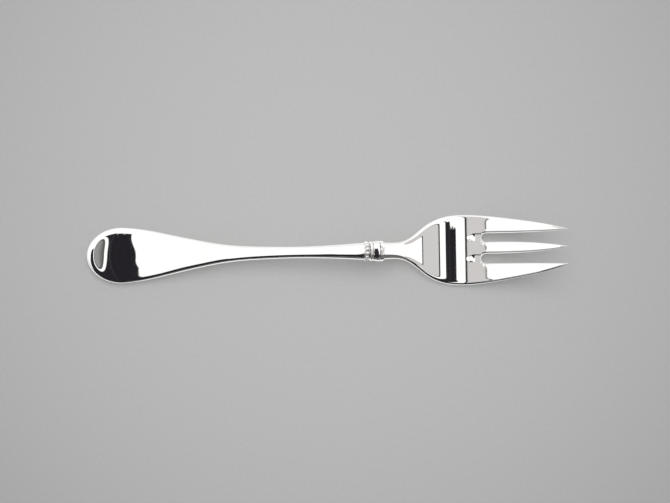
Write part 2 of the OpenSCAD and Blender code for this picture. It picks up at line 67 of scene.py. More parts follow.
# What a card over the fork is hidden from
HIDDEN_FROM = ("camera", "diffuse", "shadow", "transmission", "volume_scatter")
log = logging.getLogger("pastry_fork")

Number = float | np.ndarray
Pair = tuple[float, float]
Triple = tuple[float, float, float]
Colour = tuple[float, float, float, float]
Shares = tuple[Pair, ...]
Profile = list[Pair]
Material = bpy.types.Material
Mesh = bpy.types.Mesh
Socket = bpy.types.NodeSocket


class Side(Enum):
    """Upper or lower half of a piece."""

    UPPER = 1
    LOWER = -1


class Gap(Enum):
    """The two gaps between the tines, by the tine outside them."""

    CUTTING = "cutting"
    PLAIN = "plain"


class Tine(Enum):
    """The three tines, each with the gaps before and after it in Y."""

    CUTTING = (None, Gap.CUTTING)
    MIDDLE = (Gap.CUTTING, Gap.PLAIN)
    PLAIN = (Gap.PLAIN, None)


def mix(a: Number, b: Number, share: Number) -> Number:
    """Value a share of the way from a to b."""
    return a + (b - a) * share


def ease(share: Number) -> Number:
    """Smooth step from 0 to 1."""
    s = np.clip(share, 0, 1)
    return s * s * (3 - 2 * s)


def paint(level: float, tint: Triple = (1.0, 1.0, 1.0)) -> Colour:
    """Colour of a tint at a level."""
    return tuple(level * c for c in tint) + (1.0,)


def leaning(x: Number, y: Number, z: Number, up: Number, lean: Number) -> np.ndarray:
    """Points at y, and up from the centre x, z along a section that leans."""
    return np.stack([x + up * np.sin(lean), y, z + up * np.cos(lean)], axis=-1)


def fork_to_row(points: np.ndarray) -> np.ndarray:
    """Points of the fork's own coordinates in the row frame, in metres."""
    return (points + Layout.to_row) * MM


class Curve:
    """Smooth line through points: a natural cubic spline."""

    def __init__(self, points: list[Pair]) -> None:
        """Fits the line.

        Args:
            points: Places along the line and the values there, in order.
        """
        self.x = np.array([p[0] for p in points])
        self.y = np.array([p[1] for p in points])
        h, count = np.diff(self.x), len(points)
        system, right = np.eye(count), np.zeros(count)
        for i in range(1, count - 1):
            system[i, i - 1 : i + 2] = h[i - 1], 2 * (h[i - 1] + h[i]), h[i]
        right[1:-1] = 6 * np.diff(np.diff(self.y) / h)
        self.bend = np.linalg.solve(system, right)

    def _span(self, x: Number) -> tuple[Number, ...]:
        """Finds the span between two points that holds x.

        Args:
            x: Places along the line.

        Returns:
            The span's length, x's distances from its start and to its end, and the values and
            the bends at its start and end.
        """
        i = np.clip(np.searchsorted(self.x, x, side="right") - 1, 0, len(self.x) - 2)
        h = self.x[i + 1] - self.x[i]
        t = x - self.x[i]
        return h, t, h - t, self.y[i], self.y[i + 1], self.bend[i], self.bend[i + 1]

    def at(self, x: Number) -> Number:
        """Value at x."""
        h, t, u, a, b, m, n = self._span(x)
        return (m * u**3 + n * t**3) / (6 * h) + (a / h - m * h / 6) * u + (b / h - n * h / 6) * t

    def slope(self, x: Number) -> Number:
        """Rise per unit of length at x."""
        h, t, u, a, b, m, n = self._span(x)
        return (n * t**2 - m * u**2) / (2 * h) + (b - a) / h - (n - m) * h / 6


class Layout:
    """Places that the sub-assemblies share, in millimetres."""

    handle_length: float = 86.2
    collar_length: float = 6.46
    neck_length: float = 24.5
    tine_length: float = 33.0
    rest_cut: float = 0.12
    cut_extra: float = 0.32
    mouth_z: float = 7.57
    tilt: float = math.radians(12)
    fan: float = 9.0
    shoulder_x: float = handle_length + collar_length * math.cos(tilt)
    shoulder_z: float = mouth_z - collar_length * math.sin(tilt)
    length: float = shoulder_x + neck_length + tine_length
    to_row: np.ndarray = np.array([-length / 2, cut_extra / 2, 0.0])

    @classmethod
    def lean(cls, x: float) -> float:
        """Leans a section like the collar, and less and less over the fan before and after it.

        Args:
            x: Place along the fork.

        Returns:
            The lean, in radians.
        """
        before = (x - cls.handle_length + cls.fan) / cls.fan
        after = (cls.shoulder_x + cls.fan - x) / cls.fan
        return cls.tilt * float(ease(before if x < cls.shoulder_x else after))

    @classmethod
    def on_axis(cls, s: float) -> Pair:
        """Returns x and z of the collar's axis, s along it from the mouth."""
        return cls.handle_length + s * math.cos(cls.tilt), cls.mouth_z - s * math.sin(cls.tilt)


class Skin:
    """Points and faces of one piece, gathered sheet by sheet and then closed."""

    def __init__(self) -> None:
        """Starts empty."""
        self.points: list[np.ndarray] = []
        self.faces: list[np.ndarray] = []
        self.count = 0

    def sheet(self, rows: np.ndarray, ring: bool = False) -> None:
        """Adds a sheet of four-sided faces.

        Args:
            rows: Points as rows, columns, 3.
            ring: Whether the last column joins the first.
        """
        n, m = rows.shape[:2]
        grid = np.arange(n * m).reshape(n, m) + self.count
        if ring:
            grid = np.hstack([grid, grid[:, :1]])
        quads = np.stack([grid[:-1, :-1], grid[:-1, 1:], grid[1:, 1:], grid[1:, :-1]], axis=-1)
        self.points.append(rows.reshape(-1, 3))
        self.faces.append(quads.reshape(-1, 4))
        self.count += n * m

    def mesh(self, name: str, weld: float = 2e-7) -> Mesh:
        """Welds the sheets into one closed mesh with smooth shading.

        Args:
            name: The mesh's name.
            weld: Distance below which points are one, in metres.

        Returns:
            The mesh, in the row frame.
        """
        mesh = bpy.data.meshes.new(name)
        points = fork_to_row(np.vstack(self.points))
        mesh.from_pydata(points.tolist(), [], np.vstack(self.faces).tolist())
        bm = bmesh.new()
        bm.from_mesh(mesh)
        bmesh.ops.remove_doubles(bm, verts=bm.verts, dist=weld)
        bmesh.ops.dissolve_degenerate(bm, edges=bm.edges, dist=weld / 4)
        bmesh.ops.recalc_face_normals(bm, faces=bm.faces)
        bm.to_mesh(mesh)
        bm.free()
        smooth(mesh)
        return mesh


def smooth(mesh: Mesh) -> None:
    """Shades a mesh smooth, but for its sharp edges."""
    mesh.shade_smooth()
    mesh.set_sharp_from_angle(angle=math.radians(SHARP))


def flat_mesh(name: str, x: Pair, y: Pair, z: float) -> Mesh:
    """Makes a level rectangle.

    Args:
        name: The mesh's name.
        x: Its limits in X, in metres.
        y: Its limits in Y.
        z: Its height.

    Returns:
        The mesh.
    """
    mesh = bpy.data.meshes.new(name)
    corners = [(x[0], y[0], z), (x[1], y[0], z), (x[1], y[1], z), (x[0], y[1], z)]
    mesh.from_pydata(corners, [], [(0, 1, 2, 3)])
    return mesh


def add_object(name: str, data: bpy.types.ID) -> bpy.types.Object:
    """Puts a new object in the scene.

    Args:
        name: The object's name.
        data: Its mesh, lamp or camera.

    Returns:
        The object.
    """
    made = bpy.data.objects.new(name, data)
    bpy.context.scene.collection.objects.link(made)
    return made


def place_piece(mesh: Mesh, node: str, finish: Material) -> None:
    """Puts a finished mesh in the scene in place of its solid.

    Args:
        mesh: The piece's mesh.
        node: The solid that it stands for.
        finish: The material.
    """
    piece = add_object(mesh.name, mesh)
    mesh.materials.append(finish)
    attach(piece, "root")
    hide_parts(node)
    log.info("%s: %d faces, for %s", piece.name, len(mesh.polygons), node)


class Nodes:
    """Short way to add and join shader nodes."""

    def __init__(self, tree: bpy.types.NodeTree) -> None:
        """Keeps the tree and empties it."""
        self.tree = tree
        tree.nodes.clear()

    def add(self, kind: str, values: dict | None = None, **options: object) -> bpy.types.Node:
        """Adds a node.

        Args:
            kind: Node type, without its ShaderNode prefix.
            values: What goes into its inputs, by name or number: a value or an output.
            options: Settings of the node.

        Returns:
            The node.
        """
        node = self.tree.nodes.new("ShaderNode" + kind)
        for key, value in options.items():
            setattr(node, key, value)
        for key, value in (values or {}).items():
            if isinstance(value, Socket):
                self.tree.links.new(value, node.inputs[key])
            else:
                node.inputs[key].default_value = value
        return node

    def maths(self, operation: str, *values: object) -> Socket:
        """Returns the result of a calculation."""
        return self.add("Math", dict(enumerate(values)), operation=operation).outputs[0]

    def plus(self, a: object, b: object) -> Socket:
        """Returns a + b."""
        return self.maths("ADD", a, b)

    def minus(self, a: object, b: object) -> Socket:
        """Returns a - b."""
        return self.maths("SUBTRACT", a, b)

    def times(self, a: object, b: object) -> Socket:
        """Returns a times b."""
        return self.maths("MULTIPLY", a, b)

    def over(self, a: object, b: object) -> Socket:
        """Returns a divided by b."""
        return self.maths("DIVIDE", a, b)

    def remap(self, value: object, edge: Pair, levels: Pair = (0.0, 1.0)) -> Socket:
        """Returns a smooth change between two levels over an edge, a pair of limits of value."""
        values = dict(enumerate((value, *edge, *levels)))
        return self.add("MapRange", values, interpolation_type="SMOOTHSTEP").outputs[0]

    def blend(self, share: object, a: object, b: object) -> Socket:
        """Returns the colour a share of the way from a to b."""
        return self.add("Mix", {0: share, 6: a, 7: b}, data_type="RGBA").outputs[2]

    def place(self) -> Socket:
        """Returns the place on the piece, in metres."""
        return self.add("TexCoord").outputs["Object"]

    def split(self, vector: Socket) -> list[Socket]:
        """Returns a vector's three parts."""
        return list(self.add("SeparateXYZ", {0: vector}).outputs)

    def noise(self, place: Socket, scale: float, detail: float) -> Socket:
        """Returns noise through space."""
        return self.add("TexNoise", {"Vector": place, "Scale": scale, "Detail": detail}).outputs[0]

    def line_noise(self, place: Socket, scale: float, detail: float) -> Socket:
        """Returns noise along a line."""
        values = {"W": place, "Scale": scale, "Detail": detail}
        return self.add("TexNoise", values, noise_dimensions="1D").outputs[0]

    def streaky(self, place: Socket, scale: float, level: float, tint: Triple) -> Socket:
        """Makes a tone with faint streaks across a direction.

        Args:
            place: Place along that direction.
            scale: Scale of the streaks.
            level: The tone's level.
            tint: Its tint.

        Returns:
            The colour.
        """
        share = self.remap(self.line_noise(place, scale, STREAK_DETAIL), STREAK_RANGE)
        return self.blend(share, *(paint(level * part, tint) for part in STREAK_LEVELS))

    def light(self, colour: object) -> Socket:
        """Returns plain light of a colour."""
        return self.add("Emission", {"Color": colour, "Strength": 1.0}).outputs[0]


def new_material(name: str) -> tuple[Material, Nodes]:
    """Starts a material.

    Args:
        name: Its name.

    Returns:
        The material and its empty nodes.
    """
    made = bpy.data.materials.new(name)
    made.use_nodes = True
    return made, Nodes(made.node_tree)


@dataclass(frozen=True)
class SilverPlate:
    """Polished silver plate with the fine marks of use and washing.

    Tarnish, with painted shade between the collar's beads, gathers where the mesh's crevice
    attribute is high. A cloud or hair is a noise's scale and detail. Shares are those of cloud
    and hair in the haze, and of hair and dings in the marks.
    """

    name: str
    silver: Colour = (0.955, 0.95, 0.94, 1.0)
    warm: Colour = (0.93, 0.915, 0.885, 1.0)
    # Colour of the tarnish and painted shade in the crevices
    tarnish_and_shade: Colour = (0.2, 0.17, 0.17, 1.0)
    tarnish_rough: float = 0.25
    gloss: Pair = (0.015, 0.05)
    cloud: Pair = (70.0, 3.0)
    film_edge: Pair = (0.35, 0.75)
    haze_shares: Pair = (0.7, 0.3)
    haze_edge: Pair = (0.35, 0.7)
    rub_scale: Triple = (0.35, 1.6, 1.6)
    rub_turn: float = 0.06
    hair: Pair = (2600.0, 2.0)
    ding_scale: float = 900.0
    ding_edge: Pair = (0.0, 0.05)
    mark_shares: Pair = (0.7, 0.3)
    mark_strength: float = 0.02
    mark_depth: float = 0.00002

    def material(self) -> Material:
        """Makes the plate's material.

        Returns:
            The material.
        """
        made, n = new_material(self.name)
        place = n.place()
        turn = (0.0, 0.0, self.rub_turn)
        rubbed = n.add("Mapping", {"Vector": place, "Scale": self.rub_scale, "Rotation": turn})
        cloud = n.noise(place, *self.cloud)
        hair = n.noise(rubbed.outputs[0], *self.hair)
        dings = n.add("TexVoronoi", {"Vector": place, "Scale": self.ding_scale}).outputs[0]
        crevice = n.add("Attribute", attribute_name="crevice").outputs["Fac"]
        colour = n.blend(n.remap(cloud, self.film_edge), self.silver, self.warm)
        # Tarnish and painted shade darken the colour where the crevice attribute is high, most between the
        # collar's beads
        colour = n.blend(crevice, colour, self.tarnish_and_shade)
        haze = n.plus(n.times(cloud, self.haze_shares[0]), n.times(hair, self.haze_shares[1]))
        rough = n.remap(haze, self.haze_edge, self.gloss)
        rough = n.plus(rough, n.times(crevice, self.tarnish_rough))
        marks = n.remap(dings, self.ding_edge, (0.0, self.mark_shares[1]))
        marks = n.plus(n.times(hair, self.mark_shares[0]), marks)
        relief = {"Strength": self.mark_strength, "Distance": self.mark_depth, "Height": marks}
        bump = n.add("Bump", relief).outputs[0]
        values = {"Base Color": colour, "Roughness": rough, "Normal": bump, "Metallic": 1.0}
        n.add("OutputMaterial", {"Surface": n.add("BsdfPrincipled", values).outputs[0]})
        return made


@dataclass(frozen=True)
class FillerCement:
    """Set cement: matt, buff, with coarse and fine grain and small holes.

    Coarse and grain are each a noise's scale and detail.
    """

    name: str
    pale: Colour = (0.66, 0.62, 0.54, 1.0)
    dark: Colour = (0.47, 0.43, 0.36, 1.0)
    coarse: Pair = (350.0, 6.0)
    grain: Pair = (3000.0, 3.0)
    grain_edge: Pair = (0.3, 0.7)
    grain_share: float = 0.4
    hole_scale: float = 1400.0
    hole_edge: Pair = (0.05, 0.3)
    relief_strength: float = 0.6
    relief_depth: float = 0.0001
    rough: Pair = (0.8, 0.95)

    def material(self) -> Material:
        """Makes the cement's material.

        Returns:
            The material.
        """
        made, n = new_material(self.name)
        place = n.place()
        grain = n.noise(place, *self.grain)
        holes = n.add("TexVoronoi", {"Vector": place, "Scale": self.hole_scale}).outputs[0]
        coarse = n.remap(n.noise(place, *self.coarse), self.grain_edge)
        height = n.plus(n.times(grain, self.grain_share), n.remap(holes, self.hole_edge))
        relief = {"Strength": self.relief_strength, "Distance": self.relief_depth, "Height": height}
        values = {
            "Base Color": n.blend(coarse, self.pale, self.dark),
            "Roughness": n.remap(grain, self.grain_edge, self.rough),
            "Normal": n.add("Bump", relief).outputs[0],
        }
        n.add("OutputMaterial", {"Surface": n.add("BsdfPrincipled", values).outputs[0]})
        return made


@dataclass
class Handle:
    """Hollow handle of two soldered shells, broad and rounded at its end.

    The outline holds places along the handle, each with the shares that the broad end and the
    mouth have in the width there. The climb holds places and shares of the rise.
    """

    width: float = 17.2
    thickness: float = 3.6
    round_length: float = 12.0
    roll_length: float = 9.0
    stem_width: float = 3.54
    stem_thickness: float = 3.5
    rise: float = 5.83
    mouth: float = 5.3
    wall: float = 0.45
    end_wall: float = 1.0
    tube_radius: float = 1.8
    tube_length: float = 4.94
    blunt: float = 0.03
    plan_power: float = 2.2
    roll_power: float = 3.5
    crown_power: float = 2.6
    crown_from: float = 12.0
    crown_length: float = 26.0
    outline: tuple[Triple, ...] = (
        (0, 1, 0), (0.139, 1, 0), (0.232, 0.842, 0), (0.325, 0.586, 0), (0.418, 0.337, 0),
        (0.51, 0.139, 0), (0.603, 0.047, 0), (0.696, 0.009, 0), (0.789, 0, 0),
        (0.893, 0, 0.36), (0.96, 0, 0.72), (1, 0, 1),
    )
    climb: Shares = (
        (0, -0.081), (0.05, -0.032), (0.09, -0.011), (0.139, 0), (0.175, 0.0145), (0.21, 0.0435),
        (0.255, 0.1005), (0.315, 0.19), (0.4, 0.3165), (0.5, 0.455), (0.62, 0.605),
        (0.75, 0.755), (0.88, 0.894), (1, 1),
    )
    end_rows: int = 72
    stem_rows: int = 220
    columns: int = 64
    curves: dict[str, Curve] = field(default_factory=dict)

    def __post_init__(self) -> None:
        """Fits the curves of half width, half thickness and height."""
        long = Layout.handle_length
        sizes = {"width": (self.width, self.stem_width), "thickness": (self.thickness, self.stem_thickness)}
        for name, (end, stem) in sizes.items():
            self.curves[name] = Curve([
                (s * long, (stem + a * (end - stem) + b * (self.mouth - stem)) / 2)
                for s, a, b in self.outline
            ])
        low = (self.thickness - Layout.rest_cut) / 2
        self.curves["height"] = Curve([(s * long, low + c * self.rise) for s, c in self.climb])

    def half_width(self, x: float) -> float:
        """Works out half of the handle's width, rounded at its end.

        Args:
            x: Place along the handle.

        Returns:
            Half of the width.
        """
        near = 1 - max(x, self.blunt) / self.round_length
        plan = math.sqrt(1 - near**self.plan_power) if near > 0 else 1.0
        return float(self.curves["width"].at(x)) * plan

    def half_depth(self, x: float) -> float:
        """Works out half of the handle's thickness, rounded at its end.

        Args:
            x: Place along the handle.

        Returns:
            Half of the thickness.
        """
        near = 1 - x / self.roll_length
        roll = math.sqrt(1 - near**self.roll_power) if near > 0 else 1.0
        return float(self.curves["thickness"].at(x)) * roll

    def fullness(self, x: float, a: float) -> float:
        """Power of the section at x with half width a: crowned at the handle's end, then fuller."""
        full = max(ROUND, 2 * a / float(self.curves["thickness"].at(x)))
        return mix(min(self.crown_power, full), full, float(ease((x - self.crown_from) / self.crown_length)))

    def section(self, x: float, inset: float, side: Side, shut: bool) -> np.ndarray:
        """Half a section of the handle.

        Args:
            x: Place along the handle.
            inset: Distance in from the outer skin.
            side: Upper or lower half.
            shut: Whether the half closes to a line.

        Returns:
            Points from one seam to the other.
        """
        a = self.half_width(x) - inset
        t = 0.0 if shut else self.half_depth(x) - inset
        centre = (x, float(self.curves["height"].at(x)))
        return self.half_ring(centre, Layout.lean(x), (a, t), self.fullness(x, a), side)

    def half_ring(self, centre: Pair, lean: float, half: Pair, power: float, side: Side) -> np.ndarray:
        """Half a rounded section.

        Args:
            centre: X and Z of its centre.
            lean: Its lean, in radians.
            half: Its half width and half depth.
            power: ROUND for an ellipse, and more for a fuller section.
            side: Upper or lower half.

        Returns:
            Points from one seam to the other.
        """
        s = np.sin(np.linspace(math.pi / 2, -math.pi / 2, self.columns + 1))
        h = side.value * half[1] * np.sqrt(np.clip(1 - np.abs(s) ** power, 0, 1))
        return leaning(centre[0], half[0] * s, centre[1], h, lean)

    def tube(self, s: float, radius: float, side: Side) -> np.ndarray:
        """Half a section of the mouth tube, s along the collar's axis."""
        return self.half_ring(Layout.on_axis(s), Layout.tilt, (radius, radius), ROUND, side)

    def stations(self) -> np.ndarray:
        """Spreads the sections along the handle, closer together at its end.

        Returns:
            Their places.
        """
        end = self.round_length * (1 - np.cos(np.linspace(0, math.pi / 2, self.end_rows)))
        stem = np.linspace(self.round_length, Layout.handle_length, self.stem_rows + 1)
        return np.concatenate([end, stem[1:]])

    def shell(self, side: Side) -> Skin:
        """Builds one shell: outer skin, inner skin and the rims between them.

        Args:
            side: Upper or lower shell.

        Returns:
            The shell's skin.
        """
        x = self.stations()
        outer = [self.section(q, 0.0, side, q <= 0) for q in x]
        outer += [self.tube(s, self.tube_radius, side) for s in (0.0, self.tube_length)]
        last = Layout.handle_length - self.wall
        inside = self.end_wall + x * (last - self.end_wall) / Layout.handle_length
        inner = [self.section(q, self.wall, side, i == 0) for i, q in enumerate(inside)]
        bore = self.tube_radius - self.wall
        inner += [self.tube(s, bore, side) for s in (-self.wall, self.tube_length)]
        skin, out, into = Skin(), np.array(outer), np.array(inner)
        out[..., 2] = np.maximum(out[..., 2], 0)
        skin.sheet(out)
        skin.sheet(into)
        for rim in (np.s_[:, 0], np.s_[:, -1], np.s_[0], np.s_[-1]):
            skin.sheet(np.array([out[rim], into[rim]]))
        return skin

    def build(self, finish: Material) -> None:
        """Builds and dresses both shells.

        Args:
            finish: The material.
        """
        for side, word in ((Side.UPPER, "upper"), (Side.LOWER, "lower")):
            mesh = self.shell(side).mesh(f"polished_{word}_shell")
            place_piece(mesh, f"handle_{word}_shell", finish)


@dataclass
class Collar:
    """Four rings on the handle's leaning mouth tube: beads, wire, barrel band and lip.

    Tarnish with painted shade darkens the collar's crevices, most between the beads. It reaches
    up to tarnish_and_shade_depth over the sleeve that the beads sit on. It thins out to
    tarnish_and_shade_back towards the handle, and to tarnish_and_shade_at_bead beside the
    middle of a bead. From crevice_from along the axis, over crevice_length, this pattern turns
    by crevice_turn.
    """

    bore: float = 1.82
    seat: float = 0.02
    beads: int = 12
    bead_diameter: float = 1.26
    bead_row: float = 2.0
    bead_seat: float = 2.4
    bead_detail: int = 4
    sleeve_edge: float = 0.08
    outer: float = 3.13
    wire_width: float = 1.0
    wire_radius: float = 3.03
    wire_steps: int = 24
    band_width: float = 1.9
    band_radius: float = 3.2
    band_slope: float = 9.75
    band_turn: float = 6.5
    band_power: float = 2.2
    band_steps: int = 48
    groove: float = 0.2
    lip_width: float = 1.3
    lip_radius: float = 3.15
    lip_end: float = 2.7
    lip_level: float = 1.15
    lip_bore: float = 1.2
    lip_edge: float = 0.1
    lip_steps: int = 6
    segments: int = 160
    # Share of tarnish and painted shade in the crevices, how deep it reaches, and how it thins towards the
    # handle and beside each bead
    tarnish_and_shade: float = 0.85
    tarnish_and_shade_depth: float = 0.25
    tarnish_and_shade_back: float = 0.15
    tarnish_and_shade_at_bead: float = 0.25
    crevice_turn: float = math.radians(10)
    crevice_from: float = 1.7
    crevice_length: float = 0.3

    def revolve(self, name: str, profile: Profile) -> Mesh:
        """Turns a closed profile round the collar's axis.

        Args:
            name: The mesh's name.
            profile: Radius and place along the axis of each point.

        Returns:
            The mesh.
        """
        turn = np.linspace(0, 2 * math.pi, self.segments, endpoint=False)
        rows = []
        for r, s in profile + profile[:1]:
            x, z = Layout.on_axis(s)
            rows.append(leaning(x, r * np.sin(turn), z, r * np.cos(turn), Layout.tilt))
        skin = Skin()
        skin.sheet(np.array(rows), ring=True)
        return skin.mesh(name)

    def arc(self, centre: Pair, radius: float, end: float, steps: int) -> Profile:
        """Points of a round in a profile, from square to the axis, at -90 degrees, to end."""
        turns = np.radians(np.linspace(-90, end, steps + 1))
        return [(centre[0] + radius * math.cos(t), centre[1] + radius * math.sin(t)) for t in turns]

    def mark_crevices(self, mesh: Mesh) -> None:
        """Gives each point its share of tarnish and painted shade, from how deep it lies in the collar.

        Args:
            mesh: A ring's mesh.
        """
        points = np.empty(len(mesh.vertices) * 3)
        mesh.vertices.foreach_get("co", points)
        dx, y, dz = (points.reshape(-1, 3) / MM - Layout.to_row).T
        dx, dz = dx - Layout.handle_length, dz - Layout.mouth_z
        up = dx * math.sin(Layout.tilt) + dz * math.cos(Layout.tilt)
        along = dx * math.cos(Layout.tilt) - dz * math.sin(Layout.tilt)
        share = self.tarnish_and_shade * (1 - ease((np.hypot(up, y) - self.bead_seat) / self.tarnish_and_shade_depth))
        share *= mix(self.tarnish_and_shade_back, 1.0, ease(along / self.bead_row))
        shift = self.crevice_turn * ease((along - self.crevice_from) / self.crevice_length)
        between = (1 + np.cos((np.arctan2(y, up) - shift) * self.beads)) / 2
        share *= mix(self.tarnish_and_shade_at_bead, 1.0, ease(between))
        mesh.attributes.new("crevice", "FLOAT", "POINT").data.foreach_set("value", share)

    def balls(self) -> Mesh:
        """Makes the balls of the bead ring.

        Returns:
            Their mesh.
        """
        balls = bmesh.new()
        radius = self.bead_diameter / 2
        out = self.outer - radius
        x, z = Layout.on_axis(self.bead_row / 2)
        for i in range(self.beads):
            turn = 2 * math.pi * (i + 0.5) / self.beads
            centre = fork_to_row(leaning(x, out * math.sin(turn), z, out * math.cos(turn), Layout.tilt))
            ball = bmesh.ops.create_icosphere(balls, subdivisions=self.bead_detail, radius=radius * MM)
            bmesh.ops.translate(balls, verts=ball["verts"], vec=centre.tolist())
        mesh = bpy.data.meshes.new("bead_balls")
        balls.to_mesh(mesh)
        balls.free()
        return mesh

    def bead_ring(self) -> Mesh:
        """Makes the ring of beads: a sleeve with the balls joined on.

        Returns:
            Its mesh.
        """
        edge, top, end = self.sleeve_edge, self.bead_seat, self.bead_row
        start = [(self.bore, self.seat), (top - edge, self.seat), (top, self.seat + edge)]
        sleeve = self.revolve("bead_sleeve", start + [(top, end - edge), (top - edge, end), (self.bore, end)])
        body = add_object("bead_sleeve", sleeve)
        balls = add_object("bead_balls", self.balls())
        joined = body.modifiers.new("beads", "BOOLEAN")
        joined.operation = "UNION"
        joined.solver = "EXACT"
        joined.object = balls
        mesh = bpy.data.meshes.new_from_object(body.evaluated_get(bpy.context.evaluated_depsgraph_get()))
        for part in (body, balls):
            bpy.data.objects.remove(part)
        mesh.name = "polished_bead_ring"
        smooth(mesh)
        return mesh

    def wire(self, start: float) -> Profile:
        """Draws the wire, rounded on its outside.

        Args:
            start: Where it starts along the axis.

        Returns:
            Its profile.
        """
        half = self.wire_width / 2
        top = self.arc((self.wire_radius - half, start + half), half, 90, self.wire_steps)
        return [(self.bore, start)] + top + [(self.bore, start + self.wire_width)]

    def band(self, start: float) -> Profile:
        """Draws the barrel band, whose slope turns more towards its edges than in its middle.

        Args:
            start: Where it starts along the axis.

        Returns:
            Its profile.
        """
        places = np.linspace(-1, 1, self.band_steps + 1)
        turn = self.band_turn * np.sign(places) * np.abs(places) ** self.band_power
        rise = np.tan(np.radians(self.band_slope - turn))
        step = self.band_width / self.band_steps
        climb = np.concatenate([[0.0], np.cumsum((rise[1:] + rise[:-1]) / 2 * step)])
        low = self.band_radius - climb[-1]
        top = [(low + r, start + i * step) for i, r in enumerate(climb)]
        return [(self.bore, start)] + top + [(self.bore, start + self.band_width)]

    def lip(self, start: float) -> Profile:
        """Draws the lip, which stays level and then falls to the neck.

        Args:
            start: Where it starts along the axis.

        Returns:
            Its profile.
        """
        edge, level, end = self.lip_edge, start + self.lip_level, start + self.lip_width
        top = self.arc((self.lip_radius - edge, start + edge), edge, 0, self.lip_steps)
        top += [(self.lip_radius, level - edge), (self.lip_radius - edge / 3, level)]
        return [(self.lip_bore, start)] + top + [(self.lip_end, end), (self.lip_bore, end)]

    def build(self, finish: Material) -> None:
        """Builds and dresses the four rings.

        Args:
            finish: The material.
        """
        wire_start = self.bead_row + self.seat
        band_start = wire_start + self.wire_width + self.seat
        lip_start = band_start + self.band_width + self.groove
        rings = (
            (self.bead_ring(), "bead_ring", "beads"),
            (self.revolve("polished_wire", self.wire(wire_start)), "wire_ring", "rings"),
            (self.revolve("polished_band", self.band(band_start)), "collar_band", "rings"),
            (self.revolve("polished_lip", self.lip(lip_start)), "lip_ring", "rings"),
        )
        for mesh, node, slot in rings:
            self.mark_crevices(mesh)
            place_piece(mesh, node, finish)


